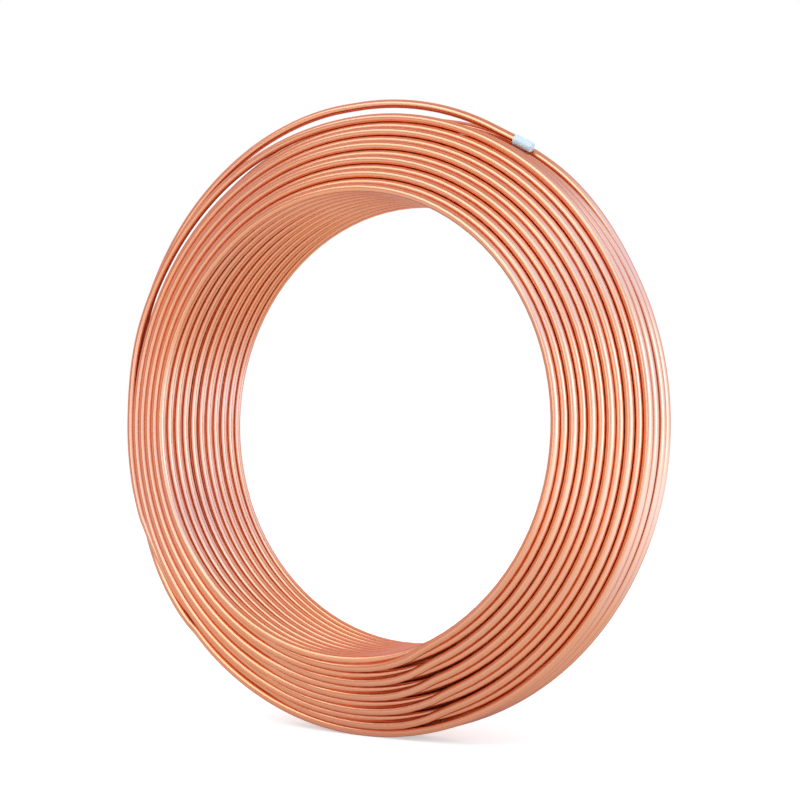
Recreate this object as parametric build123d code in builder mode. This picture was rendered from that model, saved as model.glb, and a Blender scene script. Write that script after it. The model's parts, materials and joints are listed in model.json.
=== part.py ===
# Level-wound coil of round copper tube, standing on its rim as it is stored.
# The coil's axis is level and lies along Y, its front end faces -Y, and the floor is Z = 0.
import os
from math import cos, radians, sin, sqrt, tan

from build123d import *

os.makedirs("parts", exist_ok=True)

# Tube
tube_diameter = 9.52
tube_wall = 0.8

# Winding: wide and narrow layers take turns, and a narrow one lies in the grooves of the wide one under it
bore_diameter = 500.0
bore_layer_span = 142.0  # between the centres of the first and last turns on the bore
turn_pitch = 14.2
wide_layers = 6
layer_slack = 0.63
front_step = 8.5
back_step = 11.2

# Rim: the last wide layer has only a few turns, and the outer end comes up out of the widest groove
rim_turn_shares = (0.42, 0.74)  # how far its middle turns lie from its front turn to its back one
rim_groove_slope = 54.5

# Outer end: it springs off the rim, arches over the top and comes back to rest on the rim
outer_end_lead_radius = 120.0
outer_end_lead_arc = 20.0
outer_end_drift = 2.6
outer_end_root_angle = 178.0
outer_end_opening = 51.0
outer_end_arch_angle = 141.1
outer_end_rest_angle = 66.5
outer_end_gap = 1.38
outer_end_straight = 55.0

# Inner end: it runs straight off the bore, over the back end of the coil
inner_end_root_angle = -70.0
inner_end_length = 118.0
inner_end_clearance = 0.3

# Both ends are open down the tube, and a cap is on each. The bent ends' sections have many short sides,
# because a round section along so long a bend takes a quarter of all the facets
end_sides = 16
end_open_length = 32.0
cap_length = 23.0
cap_wall = 1.1
cap_clearance = 0.1
cap_tip_bevel = 1.6

tube_radius = tube_diameter / 2
cap_radius = tube_radius + cap_clearance + cap_wall
socket_depth = cap_length - cap_wall
nested_rise = sqrt(tube_diameter**2 - (turn_pitch / 2) ** 2)
wide_rise = nested_rise + tube_diameter + layer_slack
bore_radius = bore_diameter / 2
inner_turn_radius = bore_radius + tube_radius
outer_turn_radius = inner_turn_radius + wide_rise * (wide_layers - 1)
rim_radius = outer_turn_radius + tube_radius
ridge_half_width = tube_radius * tan(radians(22.5))

rim_front = -bore_layer_span / 2 + front_step * (wide_layers - 1)
rim_back = bore_layer_span / 2 - back_step * (wide_layers - 1)
rim_turns = [rim_front + (rim_back - rim_front) * share for share in (0, *rim_turn_shares, 1)]
outer_end_root_y = (rim_turns[0] + rim_turns[1]) / 2

# The winding's own plane has the coil's axis as its origin, with Y across and the radius up
winding_plane = Plane(origin=(0, 0, rim_radius), x_dir=(0, 1, 0), z_dir=(1, 0, 0))
coil_axis = Axis((0, 0, rim_radius), (0, 1, 0))


def on_circle(radius, angle):
    """A point at this radius and angle, in a plane that looks along the coil's axis."""
    return (radius * cos(radians(angle)), radius * sin(radians(angle)))


def end_profile(side, step):
    """The outline of one end of the winding, from the bore to the rim.

    Each wide layer's last turn shows as three sides of an octagon, and the groove between two of them
    goes down to where the narrow layer's last turn meets the next wide one.
    """
    points = [(side * (bore_layer_span / 2 + ridge_half_width), bore_radius)]
    for layer in range(wide_layers):
        turn_y = bore_layer_span / 2 - step * layer
        turn_radius = inner_turn_radius + wide_rise * layer
        if layer > 0:
            groove_y = turn_y + step - (turn_pitch / 2 + step) / 2
            groove_radius = turn_radius - (wide_rise - nested_rise) / 2
            points.append((side * groove_y, groove_radius))
        points.append((side * (turn_y + tube_radius), turn_radius - ridge_half_width))
        points.append((side * (turn_y + tube_radius), turn_radius + ridge_half_width))
    points.append((side * (turn_y + ridge_half_width), rim_radius))
    return points


def rim_profile():
    """The outline across the rim from front to back, with a groove between each two turns."""
    points = []
    for front_turn, back_turn in zip(rim_turns, rim_turns[1:]):
        groove_y = (front_turn + back_turn) / 2
        groove_depth = (groove_y - front_turn - ridge_half_width) * tan(radians(rim_groove_slope))
        points.append((front_turn + ridge_half_width, rim_radius))
        points.append((groove_y, rim_radius - groove_depth))
        points.append((back_turn - ridge_half_width, rim_radius))
    return points


# The outer end comes up out of the rim's widest groove. Its plane looks along the coil's axis, turned a
# little so that the end drifts back as it goes over the top
outer_end_sideways = outer_turn_radius * cos(radians(outer_end_root_angle)) * sin(radians(outer_end_drift))
outer_end_plane = Plane(
    origin=(0, outer_end_root_y - outer_end_sideways, rim_radius),
    x_dir=(cos(radians(outer_end_drift)), sin(radians(outer_end_drift)), 0),
    z_dir=(sin(radians(outer_end_drift)), -cos(radians(outer_end_drift)), 0),
)
lead_centre = on_circle(outer_turn_radius - outer_end_lead_radius, outer_end_root_angle)
lead_offset = on_circle(outer_end_lead_radius, outer_end_root_angle + outer_end_lead_arc)
with BuildLine(outer_end_plane) as outer_end_route:
    JernArc(
        start=(lead_centre[0] + lead_offset[0], lead_centre[1] + lead_offset[1]),
        tangent=on_circle(1, outer_end_root_angle + outer_end_lead_arc - 90),
        radius=outer_end_lead_radius,
        arc_size=-outer_end_lead_arc,
    )
    arch = JernArc(
        start=on_circle(outer_turn_radius, outer_end_root_angle),
        tangent=on_circle(1, outer_end_root_angle - 90),
        radius=outer_turn_radius + outer_end_opening,
        arc_size=outer_end_arch_angle - outer_end_root_angle,
    )
    rest = outer_end_plane.from_local_coords(
        on_circle(rim_radius + cap_radius + outer_end_gap, outer_end_rest_angle)
    )
    closing = TangentArc(arch @ 1, rest, tangent=arch % 1)
    Line(closing @ 1, closing @ 1 + (closing % 1) * outer_end_straight)

# The inner end leaves the bore layer's last turn, with its cap just clear of the next wide layer
inner_end_y = bore_layer_span / 2 - back_step + tube_radius + cap_radius + inner_end_clearance
inner_end_plane = Plane(origin=(0, inner_end_y, rim_radius), z_dir=(0, -1, 0), x_dir=(1, 0, 0))
with BuildLine(inner_end_plane) as inner_end_route:
    PolarLine(
        start=on_circle(inner_turn_radius, inner_end_root_angle),
        length=inner_end_length,
        angle=inner_end_root_angle + 90,
    )

outer_tip = Plane(origin=outer_end_route.line @ 1, z_dir=outer_end_route.line % 1)
inner_tip = Plane(origin=inner_end_route.line @ 1, z_dir=inner_end_route.line % 1)

with BuildPart() as copper_tube:
    # The winding, turned about the coil's axis
    with BuildSketch(winding_plane):
        with BuildLine():
            front_end, back_end = end_profile(-1, front_step), end_profile(1, back_step)
            Polyline(*front_end, *rim_profile(), *reversed(back_end), close=True)
        make_face()
    revolve(axis=coil_axis)
    # The two ends of the tube, which leave the winding
    for route in (outer_end_route, inner_end_route):
        with BuildSketch(Plane(origin=route.line @ 0, z_dir=route.line % 0)):
            RegularPolygon(tube_radius, end_sides)
        sweep(path=route.line)
    # Both ends are open down the tube
    for tip in (outer_tip, inner_tip):
        with BuildSketch(tip):
            Circle(tube_radius - tube_wall)
        extrude(amount=-end_open_length, mode=Mode.SUBTRACT)


def end_cap(tip):
    """A push-on cap whose closed end seats on the tube's end."""
    with BuildPart() as cap:
        with BuildSketch(tip.offset(-socket_depth)):
            Circle(cap_radius)
        extrude(amount=cap_length)
        closed_end = cap.faces().sort_by(Axis(tip.origin, tip.z_dir))[-1]
        chamfer(closed_end.edges(), length=cap_tip_bevel)
        with BuildSketch(tip):
            Circle(tube_radius + cap_clearance)
        extrude(amount=-socket_depth, mode=Mode.SUBTRACT)
    return cap


outer_end_cap = end_cap(outer_tip)
inner_end_cap = end_cap(inner_tip)

copper_tube.part.label = "copper_tube"
outer_end_cap.part.label = "outer_end_cap"
inner_end_cap.part.label = "inner_end_cap"

export_step(copper_tube.part, "parts/copper_tube.step")
export_step(outer_end_cap.part, "parts/outer_end_cap.step")
export_step(inner_end_cap.part, "parts/inner_end_cap.step")
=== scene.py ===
import json
import random
from math import atan2, cos, degrees, pi, radians, sin, sqrt

import bmesh
import bpy
from mathutils import Matrix, Vector


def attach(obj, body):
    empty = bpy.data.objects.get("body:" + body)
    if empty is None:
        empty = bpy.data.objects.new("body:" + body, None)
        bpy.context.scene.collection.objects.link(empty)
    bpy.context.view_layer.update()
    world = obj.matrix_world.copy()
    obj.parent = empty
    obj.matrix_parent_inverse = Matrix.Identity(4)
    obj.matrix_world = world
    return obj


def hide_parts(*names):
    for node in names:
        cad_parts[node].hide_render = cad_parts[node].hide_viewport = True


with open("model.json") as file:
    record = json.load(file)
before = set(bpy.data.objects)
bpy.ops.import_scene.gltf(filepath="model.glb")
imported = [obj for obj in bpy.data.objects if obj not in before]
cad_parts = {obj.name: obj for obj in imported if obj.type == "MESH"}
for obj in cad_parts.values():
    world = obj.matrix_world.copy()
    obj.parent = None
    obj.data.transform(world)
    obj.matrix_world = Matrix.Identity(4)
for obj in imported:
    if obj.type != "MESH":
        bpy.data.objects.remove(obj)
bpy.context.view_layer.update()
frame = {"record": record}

# The coil: one length of soft copper tube, 9.52 mm outside, wound in eleven layers on a drum and slid off
# it. Six wide layers go from back to front. Between them five narrow layers come front to back and lie in
# the grooves, so the wide layers' last turns stand out on both ends. Its outer end springs off the rim.
TUBE_RADIUS = 0.00476
TURN_PITCH = 0.0142
BORE_SPAN = 0.142
FRONT_STEP = 0.0085
BACK_STEP = 0.0112
LAYER_SLACK = 0.00063
WIDE_LAYER_TURNS = (11, 9, 8, 7, 5)
START_ANGLE = -15.0
# The share of a turn over which the tube moves to its next place, and that of the first turns in the bore
CROSSING = (0.08, 0.30)
BORE_CROSSING = (0.0, 0.13)
CROSSING_BULGE = 0.0015
STEPS = 120
WIDE_LOOSENESS = 0.08
NARROW_LOOSENESS = 0.05
WINDING_SEED = 4
FIRST_UPPER_LAYER = 6

bore = next(m for m in frame["record"]["mounts"] if m["name"] == "bore")
AXIS_HEIGHT = bore["pos_m"][2]
BORE_TURN_RADIUS = bore["dims"]["r_mm"] / 1000 + TUBE_RADIUS
NESTED_RISE = sqrt((2 * TUBE_RADIUS) ** 2 - (TURN_PITCH / 2) ** 2)
WIDE_RISE = NESTED_RISE + 2 * TUBE_RADIUS + LAYER_SLACK
RIM_TURN_RADIUS = BORE_TURN_RADIUS + WIDE_RISE * len(WIDE_LAYER_TURNS)


def ease(value):
    """0 to 1, starting and ending gently."""
    value = min(max(value, 0.0), 1.0)
    return value * value * (3 - 2 * value)


def around(radius, angle, y):
    """A point at this radius and angle about the coil's axis. Angle 0 is +X and 90 is up."""
    return Vector((radius * cos(radians(angle)), y, AXIS_HEIGHT + radius * sin(radians(angle))))


def spaced(first, last, count, looseness, dice):
    """Places of a layer's turns across the coil, a little uneven but for the first and the last."""
    pitch = (last - first) / (count - 1)
    return [
        first + pitch * (i + (dice.uniform(-looseness, looseness) if 0 < i < count - 1 else 0))
        for i in range(count)
    ]


def over(gap):
    """How far out a turn has to be to pass over one that lies this far beside it."""
    return sqrt(max((2 * TUBE_RADIUS) ** 2 - gap**2, 0.0))


def layer_route(layer, under, first_crossing=CROSSING, first_step=0):
    """The centreline of a layer, which climbs from the last turn of the layer under it."""
    radius, turns = layer
    under_radius, under_turns = under
    route = []
    for number, y in enumerate(turns):
        share = max(number - 1, 0) / (len(turns) - 2)
        begin, finish = (first + (last - first) * share for first, last in zip(first_crossing, CROSSING))
        for step in range(first_step if number == 0 else 0, STEPS):
            u = step / STEPS
            angle = START_ANGLE - 360 * u
            if number > 0:
                shift = ease((u - begin) / (finish - begin))
                route.append(around(radius, angle, turns[number - 1] + (y - turns[number - 1]) * shift))
                continue
            rise = ease((u - first_crossing[0]) / (first_crossing[1] - first_crossing[0]))
            place = under_turns[-1] + (y - under_turns[-1]) * rise
            passed = under_turns[-2] + (under_turns[-1] - under_turns[-2]) * rise
            clear = under_radius + over(place - passed) if rise > 0 else under_radius
            climbing = under_radius + (radius - under_radius) * rise
            route.append(around(max(climbing, min(clear, radius + CROSSING_BULGE)), angle, place))
    return route


dice = random.Random(WINDING_SEED)
layers = []
for wide in range(len(WIDE_LAYER_TURNS)):
    count = WIDE_LAYER_TURNS[wide]
    front = -BORE_SPAN / 2 + FRONT_STEP * wide
    back = BORE_SPAN / 2 - BACK_STEP * wide
    pitch = (back - front) / (count - 1)
    radius = BORE_TURN_RADIUS + WIDE_RISE * wide
    layers.append((radius, spaced(back, front, count, WIDE_LOOSENESS, dice)))
    layers.append((radius + NESTED_RISE + LAYER_SLACK / 2,
                   spaced(front + pitch / 2, back - pitch / 2, count - 1, NARROW_LOOSENESS, dice)))

# The inner end comes straight off the back of the bore's first turn
INNER_END_ROOT_ANGLE = -70.0
INNER_END_LENGTH = 0.118
INNER_END_Y = 0.070815
inner_root = around(BORE_TURN_RADIUS, INNER_END_ROOT_ANGLE, INNER_END_Y)
inner_heading = radians(INNER_END_ROOT_ANGLE + 90)
inner_direction = Vector((cos(inner_heading), 0, sin(inner_heading)))
inner_tip = inner_root + inner_direction * INNER_END_LENGTH
root_step = round((START_ANGLE - INNER_END_ROOT_ANGLE) / 360 * STEPS)

inner_route = [inner_tip] + [inner_tip.lerp(inner_root, quarter / 4) for quarter in range(1, 4)]
inner_route += layer_route(layers[0], layers[0], BORE_CROSSING, root_step)
inner_route += layer_route(layers[1], layers[0])
lower_route, upper_route = [], []
for number in range(2, len(layers)):
    route = lower_route if number < FIRST_UPPER_LAYER else upper_route
    route += layer_route(layers[number], layers[number - 1])
# Each run goes on to where the next one starts
inner_route.append(lower_route[0])
lower_route.append(upper_route[0])
upper_route.append(around(layers[-1][0], START_ANGLE, layers[-1][1][-1]))

# The rim layer has only a few turns. Each row says when, in turns, the tube moves over and to where
RIM_START = 0.0150
RIM_MOVES = (
    (1.12, 1.27, 0.0037),
    (2.12, 2.27, -0.0070),
    (2.60, 2.95, -0.0140),
    (3.08, 3.25, -0.0185),
    (3.30, 3.43, -0.0285),
    (4.30, 4.43, -0.01937),
)
RIM_CROSSOVER = (4.30, 4.43)
RIM_CROSSOVER_SPACING = 0.0070
RIM_CROSSOVER_LIFT = 0.6
RIM_STEPS = 360
OUTER_END_ROOT_ANGLE = 178.0


def rim_place(t):
    """Where the rim layer's tube is across the coil, after this many turns."""
    place = RIM_START
    for begin, finish, y in RIM_MOVES:
        came_from = place
        place = came_from + (y - came_from) * ease((t - begin) / (finish - begin))
    return place


# Where the last turns lie loose. Each row says, in turns, where the tube leaves the layer under it, where
# it is furthest off, until where, where it is back, and how far off it is
RIM_LOOSE = (
    (0.70, 0.79, 0.81, 0.89, 0.0065),
    (2.46, 2.52, 2.62, 2.72, 0.0034),
    (3.46, 3.52, 3.60, 3.70, 0.0048),
)


def rim_slack(t):
    """How far the rim layer's tube lies off the layer under it, after this many turns."""
    return sum(
        lift * (ease((t - leaves) / (full - leaves)) - ease((t - until) / (back - until)))
        for leaves, full, until, back, lift in RIM_LOOSE
    )


def rim_lift(t):
    """How far a turn is lifted over the turn before it, or let in under the one that comes over it."""
    if RIM_CROSSOVER[0] < t < RIM_CROSSOVER[1]:
        share, later = RIM_CROSSOVER_LIFT, t
    elif RIM_CROSSOVER[0] - 1 < t < RIM_CROSSOVER[1] - 1:
        share, later = RIM_CROSSOVER_LIFT - 1, t + 1
    else:
        return 0.0
    gap = rim_place(later) - rim_place(later - 1)
    return share * sqrt(max(RIM_CROSSOVER_SPACING**2 - gap**2, 0.0))


rim_route = []
rim_turns = (START_ANGLE + 360 - OUTER_END_ROOT_ANGLE) / 360 + 4
last_layer_radius, last_layer_turns = layers[-1]
for step in range(int(rim_turns * RIM_STEPS)):
    t = step / RIM_STEPS
    rise = ease((t - CROSSING[0]) / (CROSSING[1] - CROSSING[0]))
    r = last_layer_radius + (RIM_TURN_RADIUS - last_layer_radius) * rise + rim_lift(t) + rim_slack(t)
    y = last_layer_turns[-1] + (rim_place(t) - last_layer_turns[-1]) * rise
    rim_route.append(around(r, START_ANGLE - 360 * t, y))

# The outer end springs off the rim, drifts back a little and comes down to the rim again. The rises are its
# height off the rim turns, one every few degrees from its root, and an arc takes it down from the last
OUTER_END_DRIFT = 2.6
OUTER_END_OPENING = 0.051
OUTER_END_ARCH_ANGLE = 141.1
OUTER_END_REST_ANGLE = 66.5
CAP_RADIUS = 0.00596
OUTER_END_GAP = 0.00138
OUTER_END_STRAIGHT = 0.055
OUTER_END_SPRING_STEP = 6.0
OUTER_END_SPRING_RISES = (
    0.0, 0.0020, 0.0062, 0.0102, 0.0130, 0.0152, 0.0174, 0.0196,
    0.0215, 0.0230, 0.0241, 0.0244, 0.0241, 0.0230, 0.0212,
)
OUTER_END_SPRING = [
    (OUTER_END_ROOT_ANGLE - OUTER_END_SPRING_STEP * i, rise) for i, rise in enumerate(OUTER_END_SPRING_RISES)
]
END_STEP = 0.006
root_across = RIM_TURN_RADIUS * cos(radians(OUTER_END_ROOT_ANGLE))
OUTER_END_Y = RIM_MOVES[-1][2] - root_across * sin(radians(OUTER_END_DRIFT))


def on_end_plane(x, z):
    """A point of the outer end's own upright plane, whose origin is on the coil's axis."""
    turn = radians(OUTER_END_DRIFT)
    return Vector((x * cos(turn), OUTER_END_Y + x * sin(turn), AXIS_HEIGHT + z))


def arc_points(centre, start, sweep):
    """Points along an arc in the outer end's plane, from start, turning by sweep degrees."""
    across, up = start[0] - centre[0], start[1] - centre[1]
    radius, first = sqrt(across**2 + up**2), atan2(up, across)
    count = max(2, int(radius * abs(radians(sweep)) / END_STEP))
    angles = [first + radians(sweep) * i / count for i in range(1, count + 1)]
    return [(centre[0] + radius * cos(a), centre[1] + radius * sin(a)) for a in angles]


def polar(radius, angle):
    return (radius * cos(radians(angle)), radius * sin(radians(angle)))


arch_centre = polar(OUTER_END_OPENING, OUTER_END_ROOT_ANGLE - 180)
arch_end = arc_points(arch_centre, polar(RIM_TURN_RADIUS, OUTER_END_ROOT_ANGLE),
                      OUTER_END_ARCH_ANGLE - OUTER_END_ROOT_ANGLE)[-1]
toward = polar(1, OUTER_END_ARCH_ANGLE - 90)
inward = (toward[1], -toward[0])
rest = polar(RIM_TURN_RADIUS + TUBE_RADIUS + CAP_RADIUS + OUTER_END_GAP, OUTER_END_REST_ANGLE)
chord = (rest[0] - arch_end[0], rest[1] - arch_end[1])
closing_radius = (chord[0] ** 2 + chord[1] ** 2) / (2 * (chord[0] * inward[0] + chord[1] * inward[1]))
closing_centre = (arch_end[0] + inward[0] * closing_radius, arch_end[1] + inward[1] * closing_radius)
first_angle = degrees(atan2(arch_end[1] - closing_centre[1], arch_end[0] - closing_centre[0]))
last_angle = degrees(atan2(rest[1] - closing_centre[1], rest[0] - closing_centre[0]))
closing = arc_points(closing_centre, arch_end, last_angle - first_angle)
outer_direction_2d = polar(1, last_angle - 90)
tip_2d = tuple(start + heading * OUTER_END_STRAIGHT for start, heading in zip(rest, outer_direction_2d))
straight_count = round(OUTER_END_STRAIGHT / END_STEP)
straight = [
    tuple(start + (end - start) * i / straight_count for start, end in zip(rest, tip_2d))
    for i in range(1, straight_count + 1)
]
spring = [polar(RIM_TURN_RADIUS + rise, angle) for angle, rise in OUTER_END_SPRING]
last_spring_angle = OUTER_END_SPRING[-1][0] - OUTER_END_SPRING_STEP / 2
closing = [point for point in closing if degrees(atan2(point[1], point[0])) < last_spring_angle]
rim_route += [on_end_plane(*point) for point in spring + closing + straight]
outer_tip = on_end_plane(*tip_2d)
outer_direction = (outer_tip - on_end_plane(*rest)).normalized()


def tube_tree():
    """Geometry nodes that draw a round tube along a route, a little uneven as wound coils are."""
    tree = bpy.data.node_groups.new("tube_along_route", "GeometryNodeTree")
    tree.interface.new_socket("Route", in_out="INPUT", socket_type="NodeSocketGeometry")
    inputs = (
        ("Tube radius", "NodeSocketFloat", TUBE_RADIUS),
        ("Sides", "NodeSocketInt", 26),
        ("Spacing", "NodeSocketFloat", 0.017),
        ("Wander", "NodeSocketFloat", 0.0012),
        ("Wander scale", "NodeSocketFloat", 3.4),
        ("Half span", "NodeSocketFloat", BORE_SPAN / 2),
        ("Seed", "NodeSocketFloat", 2.0),
        ("Finish", "NodeSocketMaterial", None),
    )
    for name, kind, value in inputs:
        socket = tree.interface.new_socket(name, in_out="INPUT", socket_type=kind)
        if value is not None:
            socket.default_value = value
    tree.interface.new_socket("Tube", in_out="OUTPUT", socket_type="NodeSocketGeometry")
    nodes, link = tree.nodes, tree.links.new

    def node(kind, **settings):
        made = nodes.new(kind)
        for name, value in settings.items():
            setattr(made, name, value)
        return made

    given = node("NodeGroupInput")
    smooth_route = node("GeometryNodeCurveSplineType", spline_type="CATMULL_ROM")
    link(given.outputs["Route"], smooth_route.inputs["Curve"])
    even = node("GeometryNodeResampleCurve", mode="LENGTH")
    link(smooth_route.outputs[0], even.inputs["Curve"])
    link(given.outputs["Spacing"], even.inputs["Length"])

    # Neighbouring turns wander together, mostly along the coil's axis, and never past its front and back
    place = node("GeometryNodeInputPosition")
    noise = node("ShaderNodeTexNoise", noise_dimensions="4D")
    noise.inputs["Detail"].default_value = 1.0
    link(place.outputs[0], noise.inputs["Vector"])
    link(given.outputs["Seed"], noise.inputs["W"])
    link(given.outputs["Wander scale"], noise.inputs["Scale"])
    centred = node("ShaderNodeMath", operation="SUBTRACT")
    centred.inputs[1].default_value = 0.5
    link(noise.outputs["Fac"], centred.inputs[0])
    sway = node("ShaderNodeMath", operation="MULTIPLY")
    link(centred.outputs[0], sway.inputs[0])
    link(given.outputs["Wander"], sway.inputs[1])
    apart = node("ShaderNodeSeparateXYZ")
    link(place.outputs[0], apart.inputs[0])
    moved = node("ShaderNodeMath", operation="MULTIPLY_ADD")
    moved.inputs[1].default_value = 2.0
    link(sway.outputs[0], moved.inputs[0])
    link(apart.outputs["Y"], moved.inputs[2])
    lowest = node("ShaderNodeMath", operation="MULTIPLY")
    lowest.inputs[1].default_value = -1.0
    link(given.outputs["Half span"], lowest.inputs[0])
    held = node("ShaderNodeClamp")
    link(moved.outputs[0], held.inputs["Value"])
    link(lowest.outputs[0], held.inputs["Min"])
    link(given.outputs["Half span"], held.inputs["Max"])
    together = node("ShaderNodeCombineXYZ")
    link(apart.outputs["X"], together.inputs["X"])
    link(held.outputs[0], together.inputs["Y"])
    link(apart.outputs["Z"], together.inputs["Z"])
    laid = node("GeometryNodeSetPosition")
    link(even.outputs[0], laid.inputs["Geometry"])
    link(together.outputs[0], laid.inputs["Position"])

    # The draw lines follow the tube: their pattern reads the place round it and the length along it
    along = node("GeometryNodeSplineParameter")
    keep_length = node("GeometryNodeCaptureAttribute", domain="POINT")
    keep_length.capture_items.new("FLOAT", "Length")
    link(laid.outputs[0], keep_length.inputs["Geometry"])
    link(along.outputs["Length"], keep_length.inputs["Length"])
    circle = node("GeometryNodeCurvePrimitiveCircle", mode="RADIUS")
    link(given.outputs["Sides"], circle.inputs["Resolution"])
    link(given.outputs["Tube radius"], circle.inputs["Radius"])
    keep_turn = node("GeometryNodeCaptureAttribute", domain="POINT")
    keep_turn.capture_items.new("FLOAT", "Turn")
    link(circle.outputs["Curve"], keep_turn.inputs["Geometry"])
    link(along.outputs["Factor"], keep_turn.inputs["Turn"])
    tube = node("GeometryNodeCurveToMesh")
    tube.inputs["Fill Caps"].default_value = True
    link(keep_length.outputs["Geometry"], tube.inputs["Curve"])
    link(keep_turn.outputs["Geometry"], tube.inputs["Profile Curve"])
    angle = node("ShaderNodeMath", operation="MULTIPLY")
    angle.inputs[1].default_value = 2 * pi
    link(keep_turn.outputs["Turn"], angle.inputs[0])
    drawn = node("ShaderNodeCombineXYZ")
    for axis, operation in (("X", "COSINE"), ("Y", "SINE")):
        wave = node("ShaderNodeMath", operation=operation)
        link(angle.outputs[0], wave.inputs[0])
        scaled = node("ShaderNodeMath", operation="MULTIPLY")
        link(wave.outputs[0], scaled.inputs[0])
        link(given.outputs["Tube radius"], scaled.inputs[1])
        link(scaled.outputs[0], drawn.inputs[axis])
    link(keep_length.outputs["Length"], drawn.inputs["Z"])
    store = node("GeometryNodeStoreNamedAttribute", data_type="FLOAT_VECTOR", domain="POINT")
    store.inputs["Name"].default_value = "drawn"
    link(tube.outputs[0], store.inputs["Geometry"])
    link(drawn.outputs[0], store.inputs["Value"])
    shaded = node("GeometryNodeSetShadeSmooth")
    link(store.outputs[0], shaded.inputs["Geometry"])
    real = node("GeometryNodeRealizeInstances")
    link(shaded.outputs[0], real.inputs["Geometry"])
    finish = node("GeometryNodeSetMaterial")
    link(real.outputs[0], finish.inputs["Geometry"])
    link(given.outputs["Finish"], finish.inputs["Material"])
    result = node("NodeGroupOutput")
    link(finish.outputs[0], result.inputs["Tube"])
    return tree


# Colours of the copper: two tones that drift over the coil, a redder one, its draw lines and its scuffs
COPPER_BRIGHT = (0.92, 0.385, 0.19)
COPPER_PINK = (0.89, 0.41, 0.25)
COPPER_RED = (0.88, 0.32, 0.15)
COPPER_LINES = (0.76, 0.26, 0.13)
COPPER_SCUFFS = (0.93, 0.78, 0.70)


def drawn_copper():
    """Bright drawn copper with fine lengthwise lines, a slow drift of tint and a few pale scuffs."""
    material = bpy.data.materials.new("drawn_copper")
    material.use_nodes = True
    tree = material.node_tree
    nodes, link = tree.nodes, tree.links.new
    shader = nodes["Principled BSDF"]
    shader.inputs["Metallic"].default_value = 1.0

    drawn = nodes.new("ShaderNodeAttribute")
    drawn.attribute_name = "drawn"
    place = nodes.new("ShaderNodeTexCoord")

    def noise(source, scale, detail, stretch=(1, 1, 1)):
        fit = nodes.new("ShaderNodeMapping")
        fit.inputs["Scale"].default_value = stretch
        link(source, fit.inputs["Vector"])
        made = nodes.new("ShaderNodeTexNoise")
        made.inputs["Scale"].default_value = scale
        made.inputs["Detail"].default_value = detail
        link(fit.outputs[0], made.inputs["Vector"])
        return made.outputs["Fac"]

    def remap(value, low, high, to_low, to_high):
        made = nodes.new("ShaderNodeMapRange")
        for name, number in zip(("From Min", "From Max", "To Min", "To Max"), (low, high, to_low, to_high)):
            made.inputs[name].default_value = number
        link(value, made.inputs["Value"])
        return made.outputs[0]

    def blend(amount, first, second):
        made = nodes.new("ShaderNodeMix")
        made.data_type = "RGBA"
        link(amount, made.inputs["Factor"])
        for socket, colour in ((made.inputs["A"], first), (made.inputs["B"], second)):
            if isinstance(colour, tuple):
                socket.default_value = (*colour, 1)
            else:
                link(colour, socket)
        return made.outputs["Result"]

    lines = noise(drawn.outputs["Vector"], 450, 1, (1, 1, 0.005))
    tint = noise(place.outputs["Object"], 5, 2)
    tube_tint = noise(drawn.outputs["Vector"], 3, 2, (0.2, 0.2, 1))
    scuffs = noise(drawn.outputs["Vector"], 210, 1, (1, 1, 0.5))

    bright = blend(remap(tint, 0.35, 0.65, 0, 1), COPPER_BRIGHT, COPPER_PINK)
    toned = blend(remap(tube_tint, 0.3, 0.7, 0, 0.35), bright, COPPER_RED)
    lined = blend(remap(lines, 0.55, 0.75, 0, 0.15), toned, COPPER_LINES)
    scuffed = blend(remap(scuffs, 0.83, 0.86, 0, 0.6), lined, COPPER_SCUFFS)
    link(scuffed, shader.inputs["Base Color"])
    link(remap(lines, 0.3, 0.7, 0.22, 0.29), shader.inputs["Roughness"])
    shader.inputs["Specular Tint"].default_value = (0.70, 0.60, 0.72, 1)
    bump = nodes.new("ShaderNodeBump")
    bump.inputs["Strength"].default_value = 0.02
    bump.inputs["Distance"].default_value = 0.0002
    link(lines, bump.inputs["Height"])
    link(bump.outputs[0], shader.inputs["Normal"])
    return material


tube_along_route = tube_tree()
copper = drawn_copper()


def tube_piece(name, route, **sizes):
    """A mesh of the tube along this route, which stands for part of the CAD's copper tube."""
    data = bpy.data.curves.new(name + "_route", "CURVE")
    data.dimensions = "3D"
    spline = data.splines.new("POLY")
    spline.points.add(len(route) - 1)
    for point, co in zip(spline.points, route):
        point.co = (*co, 1)
    guide = bpy.data.objects.new(name + "_route", data)
    bpy.context.scene.collection.objects.link(guide)
    modifier = guide.modifiers.new("tube", "NODES")
    modifier.node_group = tube_along_route
    sockets = {item.name: item.identifier for item in tube_along_route.interface.items_tree}
    for label, value in {"Finish": copper, **sizes}.items():
        modifier[sockets[label]] = value
    drawn = guide.evaluated_get(bpy.context.evaluated_depsgraph_get())
    mesh = bpy.data.meshes.new_from_object(drawn)
    mesh.name = name
    guide.modifiers.remove(modifier)
    bpy.data.objects.remove(guide)
    bpy.data.curves.remove(data)
    piece = bpy.data.objects.new(name, mesh)
    bpy.context.scene.collection.objects.link(piece)
    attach(piece, "root")
    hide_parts("copper_tube")
    return piece


tube_piece("inner_layers", inner_route)
tube_piece("lower_layers", lower_route)
tube_piece("upper_layers", upper_route)
tube_piece("rim_turns_and_outer_end", rim_route, Sides=28, Spacing=0.006)

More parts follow.
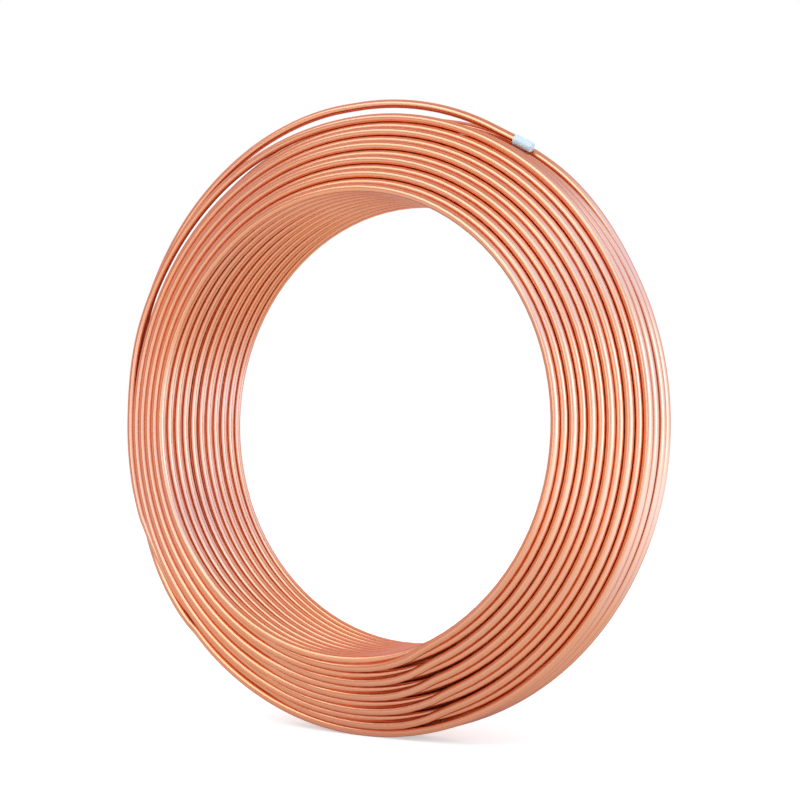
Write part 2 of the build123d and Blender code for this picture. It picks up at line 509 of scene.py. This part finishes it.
# The caps: two short blind sleeves of soft polyethylene, moulded with a bead round the open lip and a
# domed closed end. Each is pushed over an end of the tube to keep it clean and dry.
CAP_LENGTH = 0.023
CAP_WALL = 0.0011
CAP_CLEARANCE = 0.0001
CAP_BEAD_LENGTH = 0.0022
CAP_BEAD_HEIGHT = 0.00035
CAP_TIP_ROUND = 0.0016
CAP_SIDES = 48
CAP_SOFT_EDGE = 0.0006
CAP_LIP_ROUND = 0.0003
CAP_BEAD_ROUND = 0.0004
CAP_BEAD_FOOT = 0.0001
CAP_TIP_STEPS = 6


def polyethylene():
    """Pale blue-white translucent plastic, faintly mottled."""
    material = bpy.data.materials.new("cap_polyethylene")
    material.use_nodes = True
    nodes, link = material.node_tree.nodes, material.node_tree.links.new
    shader = nodes["Principled BSDF"]
    place = nodes.new("ShaderNodeTexCoord")
    noise = nodes.new("ShaderNodeTexNoise")
    noise.inputs["Scale"].default_value = 420
    noise.inputs["Detail"].default_value = 3
    link(place.outputs["Object"], noise.inputs["Vector"])
    colours = nodes.new("ShaderNodeMix")
    colours.data_type = "RGBA"
    colours.inputs["A"].default_value = (0.76, 0.90, 0.97, 1)
    colours.inputs["B"].default_value = (0.81, 0.93, 0.98, 1)
    link(noise.outputs["Fac"], colours.inputs["Factor"])
    link(colours.outputs["Result"], shader.inputs["Base Color"])
    bump = nodes.new("ShaderNodeBump")
    bump.inputs["Strength"].default_value = 0.05
    bump.inputs["Distance"].default_value = 0.0002
    link(noise.outputs["Fac"], bump.inputs["Height"])
    link(bump.outputs[0], shader.inputs["Normal"])
    shader.inputs["Roughness"].default_value = 0.38
    shader.inputs["Transmission Weight"].default_value = 0.1
    shader.inputs["Subsurface Weight"].default_value = 0.3
    shader.inputs["Subsurface Radius"].default_value = (0.003, 0.004, 0.005)
    shader.inputs["Subsurface Scale"].default_value = 1.0
    return material


def cap_outline():
    """The cap's section as (radius, length), from the inside bottom, out over the lip to the closed end."""
    inside = TUBE_RADIUS + CAP_CLEARANCE
    body = CAP_RADIUS - CAP_BEAD_HEIGHT
    floor = CAP_LENGTH - CAP_WALL
    outline = [(0, floor), (inside - CAP_SOFT_EDGE, floor), (inside, floor - CAP_SOFT_EDGE)]
    outline += [(inside, CAP_SOFT_EDGE), (inside + CAP_LIP_ROUND, 0)]
    outline += [(CAP_RADIUS - CAP_BEAD_ROUND, 0), (CAP_RADIUS, CAP_BEAD_ROUND)]
    outline += [(CAP_RADIUS, CAP_BEAD_LENGTH - CAP_BEAD_ROUND)]
    outline += [(body + CAP_BEAD_FOOT, CAP_BEAD_LENGTH), (body, CAP_BEAD_LENGTH + CAP_BEAD_ROUND)]
    for i in range(CAP_TIP_STEPS + 1):
        turn = radians(90 * i / CAP_TIP_STEPS)
        radius = body - CAP_TIP_ROUND * (1 - cos(turn))
        outline.append((radius, CAP_LENGTH - CAP_TIP_ROUND * (1 - sin(turn))))
    outline.append((0, CAP_LENGTH))
    return outline


def lathed(name, outline, origin, direction, material):
    """A closed mesh turned from this outline about the direction, starting from the origin."""
    mesh = bpy.data.meshes.new(name)
    build = bmesh.new()
    rings = []
    for radius, length in outline:
        if radius == 0:
            rings.append([build.verts.new((0, 0, length))] * CAP_SIDES)
        else:
            turns = [2 * pi * i / CAP_SIDES for i in range(CAP_SIDES)]
            places = [(radius * cos(turn), radius * sin(turn), length) for turn in turns]
            rings.append([build.verts.new(place) for place in places])
    for near, far in zip(rings, rings[1:]):
        for i in range(CAP_SIDES):
            corners = []
            for corner in (near[i], near[(i + 1) % CAP_SIDES], far[(i + 1) % CAP_SIDES], far[i]):
                if corner not in corners:
                    corners.append(corner)
            build.faces.new(corners).smooth = True
    bmesh.ops.recalc_face_normals(build, faces=build.faces)
    turned = direction.to_track_quat("Z", "Y").to_matrix().to_4x4()
    build.transform(Matrix.Translation(origin) @ turned)
    build.to_mesh(mesh)
    build.free()
    mesh.materials.append(material)
    piece = bpy.data.objects.new(name, mesh)
    bpy.context.scene.collection.objects.link(piece)
    return piece


cap_plastic = polyethylene()
socket_depth = CAP_LENGTH - CAP_WALL
for node_name, tip, direction in (
    ("outer_end_cap", outer_tip, outer_direction),
    ("inner_end_cap", inner_tip, inner_direction),
):
    lip = tip - direction * socket_depth
    cap = lathed("push_on_" + node_name, cap_outline(), lip, direction, cap_plastic)
    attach(cap, "root")
    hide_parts(node_name)

# The studio: a pale floor and a room. The camera sees both as plain white, and the floor keeps the shadow.
# Reflections see a dimmer room with a cool glow on the right, which brings out the turns of the bright tube.
FLOOR_SIZE = 12.0
FLOOR_WHITE = 0.5
FLOOR_REFLECTED = 0.1
FLOOR_SIDE_REACH = (0.2, 0.9)
FLOOR_SIDE_LIGHT = 2.4
FLOOR_SIDE_TINT = (0.16, 0.46, 1.0, 1)


def floor_finish():
    """White to the camera and dimmer in reflections, but for a painted cool glow on the right, with real
    shading added for the shadow.
    """
    material = bpy.data.materials.new("pale_floor")
    material.use_nodes = True
    nodes, link = material.node_tree.nodes, material.node_tree.links.new
    shader = nodes["Principled BSDF"]
    shader.inputs["Base Color"].default_value = (0.8, 0.8, 0.8, 1)
    shader.inputs["Roughness"].default_value = 0.9
    shader.inputs["Specular IOR Level"].default_value = 0.0
    white = nodes.new("ShaderNodeEmission")
    white.inputs["Strength"].default_value = FLOOR_WHITE
    path = nodes.new("ShaderNodeLightPath")
    mirrored = nodes.new("ShaderNodeMath")
    mirrored.operation = "MULTIPLY"
    mirrored.inputs[1].default_value = FLOOR_REFLECTED
    link(path.outputs["Is Glossy Ray"], mirrored.inputs[0])
    seen = nodes.new("ShaderNodeMath")
    seen.operation = "MAXIMUM"
    link(path.outputs["Is Camera Ray"], seen.inputs[0])
    link(mirrored.outputs[0], seen.inputs[1])
    seen_through = nodes.new("ShaderNodeMath")
    seen_through.operation = "MAXIMUM"
    link(seen.outputs[0], seen_through.inputs[0])
    link(path.outputs["Is Transmission Ray"], seen_through.inputs[1])
    dark = nodes.new("ShaderNodeEmission")
    dark.inputs["Strength"].default_value = 0.0
    choose = nodes.new("ShaderNodeMixShader")
    link(seen_through.outputs[0], choose.inputs["Fac"])
    link(dark.outputs[0], choose.inputs[1])
    link(white.outputs[0], choose.inputs[2])
    add = nodes.new("ShaderNodeAddShader")
    link(shader.outputs[0], add.inputs[0])
    link(choose.outputs[0], add.inputs[1])
    # Off to the right the floor glows cool: painted light, an emission that only reflections show, standing
    # for the room there
    place = nodes.new("ShaderNodeTexCoord")
    apart = nodes.new("ShaderNodeSeparateXYZ")
    link(place.outputs["Object"], apart.inputs[0])
    level = nodes.new("ShaderNodeMapRange")
    level.interpolation_type = "SMOOTHSTEP"
    level.inputs["From Min"].default_value, level.inputs["From Max"].default_value = FLOOR_SIDE_REACH
    level.inputs["To Max"].default_value = FLOOR_SIDE_LIGHT
    link(apart.outputs["X"], level.inputs["Value"])
    mirrored_side = nodes.new("ShaderNodeMath")
    mirrored_side.operation = "MULTIPLY"
    link(level.outputs[0], mirrored_side.inputs[0])
    link(path.outputs["Is Glossy Ray"], mirrored_side.inputs[1])
    side = nodes.new("ShaderNodeEmission")
    side.inputs["Color"].default_value = FLOOR_SIDE_TINT
    link(mirrored_side.outputs[0], side.inputs["Strength"])
    lit = nodes.new("ShaderNodeAddShader")
    link(add.outputs[0], lit.inputs[0])
    link(side.outputs[0], lit.inputs[1])
    link(lit.outputs[0], nodes["Material Output"].inputs["Surface"])
    return material


floor_mesh = bpy.data.meshes.new("floor")
half = FLOOR_SIZE / 2
corners = [(-half, -half, 0), (half, -half, 0), (half, half, 0), (-half, half, 0)]
floor_mesh.from_pydata(corners, [], [(0, 1, 2, 3)])
floor_mesh.materials.append(floor_finish())
floor = bpy.data.objects.new("floor", floor_mesh)
bpy.context.scene.collection.objects.link(floor)

world = bpy.data.worlds.new("white_room")
bpy.context.scene.world = world
world.use_nodes = True
ROOM_LIGHT = 0.85
ROOM_FRONT = 0.54
ROOM_BACK = 0.9
ROOM_TINT = (0.97, 0.98, 1.0, 1)
ROOM_REFLECTED_TINT = (1.0, 0.86, 0.92, 1)
SIDE_LIGHT = 2.2
SIDE_TINT = (0.18, 0.50, 1.0, 1)
SIDE_DIRECTION = (0.95, -0.22, 0.20)
ROOM_REACH = (-0.45, 0.5)
SIDE_REACH = (0.25, 0.75)
BACKDROP_DIRECTION = (-0.53, 0.85, 0.0)
room_nodes, room_link = world.node_tree.nodes, world.node_tree.links.new
ray = room_nodes.new("ShaderNodeLightPath")
room = room_nodes["Background"]
tint = room_nodes.new("ShaderNodeMix")
tint.data_type = "RGBA"
tint.inputs["A"].default_value = ROOM_TINT
tint.inputs["B"].default_value = ROOM_REFLECTED_TINT
room_link(ray.outputs["Is Glossy Ray"], tint.inputs["Factor"])
room_link(tint.outputs["Result"], room.inputs["Color"])
direction = room_nodes.new("ShaderNodeTexCoord")
toward_back = room_nodes.new("ShaderNodeVectorMath")
toward_back.operation = "DOT_PRODUCT"
toward_back.inputs[1].default_value = BACKDROP_DIRECTION
room_link(direction.outputs["Generated"], toward_back.inputs[0])
reflected = room_nodes.new("ShaderNodeMapRange")
reflected.interpolation_type = "SMOOTHSTEP"
reflected.inputs["From Min"].default_value, reflected.inputs["From Max"].default_value = ROOM_REACH
reflected.inputs["To Min"].default_value = ROOM_FRONT
reflected.inputs["To Max"].default_value = ROOM_BACK
room_link(toward_back.outputs["Value"], reflected.inputs["Value"])
level = room_nodes.new("ShaderNodeMapRange")
level.inputs["To Min"].default_value = ROOM_LIGHT
room_link(reflected.outputs[0], level.inputs["To Max"])
room_link(ray.outputs["Is Glossy Ray"], level.inputs["Value"])
room_link(level.outputs[0], room.inputs["Strength"])
toward_side = room_nodes.new("ShaderNodeVectorMath")
toward_side.operation = "DOT_PRODUCT"
toward_side.inputs[1].default_value = SIDE_DIRECTION
room_link(direction.outputs["Generated"], toward_side.inputs[0])
side_level = room_nodes.new("ShaderNodeMapRange")
side_level.interpolation_type = "SMOOTHSTEP"
side_level.inputs["From Min"].default_value, side_level.inputs["From Max"].default_value = SIDE_REACH
side_level.inputs["To Max"].default_value = SIDE_LIGHT
room_link(toward_side.outputs["Value"], side_level.inputs["Value"])
mirrored_side = room_nodes.new("ShaderNodeMath")
mirrored_side.operation = "MULTIPLY"
room_link(side_level.outputs[0], mirrored_side.inputs[0])
room_link(ray.outputs["Is Glossy Ray"], mirrored_side.inputs[1])
side = room_nodes.new("ShaderNodeBackground")
side.inputs["Color"].default_value = SIDE_TINT
room_link(mirrored_side.outputs[0], side.inputs["Strength"])
lit_room = room_nodes.new("ShaderNodeAddShader")
room_link(room.outputs[0], lit_room.inputs[0])
room_link(side.outputs[0], lit_room.inputs[1])
backdrop = room_nodes.new("ShaderNodeBackground")
backdrop.inputs["Color"].default_value = (1, 1, 1, 1)
seen = room_nodes.new("ShaderNodeMath")
seen.operation = "MAXIMUM"
room_link(ray.outputs["Is Camera Ray"], seen.inputs[0])
room_link(ray.outputs["Is Transmission Ray"], seen.inputs[1])
choose = room_nodes.new("ShaderNodeMixShader")
room_link(seen.outputs[0], choose.inputs["Fac"])
room_link(lit_room.outputs[0], choose.inputs[1])
room_link(backdrop.outputs[0], choose.inputs[2])
room_link(choose.outputs[0], room_nodes["World Output"].inputs["Surface"])


def soft_light(name, place, target, width, height, level, colour):
    """A studio light panel that faces the target. Its level is how bright it is beside a white of 1."""
    data = bpy.data.lights.new(name, "AREA")
    data.shape = "RECTANGLE"
    data.size = width
    data.size_y = height
    data.energy = level * pi * width * height
    data.color = colour
    light = bpy.data.objects.new(name, data)
    light.location = place
    light.rotation_euler = (Vector(target) - Vector(place)).to_track_quat("-Z", "Y").to_euler()
    light.visible_camera = False
    bpy.context.scene.collection.objects.link(light)


coil_centre = (0, 0, AXIS_HEIGHT)
soft_light("front", (-0.45, -2.56, 0.95), coil_centre, 1.4, 1.5, 2.3, (0.56, 0.74, 0.95))
soft_light("overhead", (-0.4, -1.7, 1.8), coil_centre, 2.4, 0.9, 2.3, (0.58, 0.88, 1.0))
soft_light("right", (2.4, -0.9, 0.75), coil_centre, 1.4, 1.5, 2.6, (0.40, 0.72, 1.0))

# The camera stands low, to the right of the coil's axis, and looks slightly up
CAMERA_PLACE = Vector((1.02372, -1.59743, 0.32413))
CAMERA_FORWARD = Vector((-0.52920, 0.84817, 0.02367))
CAMERA_ROLL = 0.2921
CAMERA_LENS = 76.5
forward = CAMERA_FORWARD.normalized()
level_right = forward.cross(Vector((0, 0, 1))).normalized()
level_up = level_right.cross(forward)
right = level_right * cos(radians(CAMERA_ROLL)) + level_up * sin(radians(CAMERA_ROLL))
up = right.cross(forward)
camera_data = bpy.data.cameras.new("camera")
camera_data.lens = CAMERA_LENS
camera = bpy.data.objects.new("camera", camera_data)
turned = Matrix((right, up, -forward)).transposed()
camera.matrix_world = Matrix.Translation(CAMERA_PLACE) @ turned.to_4x4()
bpy.context.scene.collection.objects.link(camera)
bpy.context.scene.camera = camera

bpy.context.scene.view_settings.view_transform = "Standard"

bpy.context.view_layer.update()
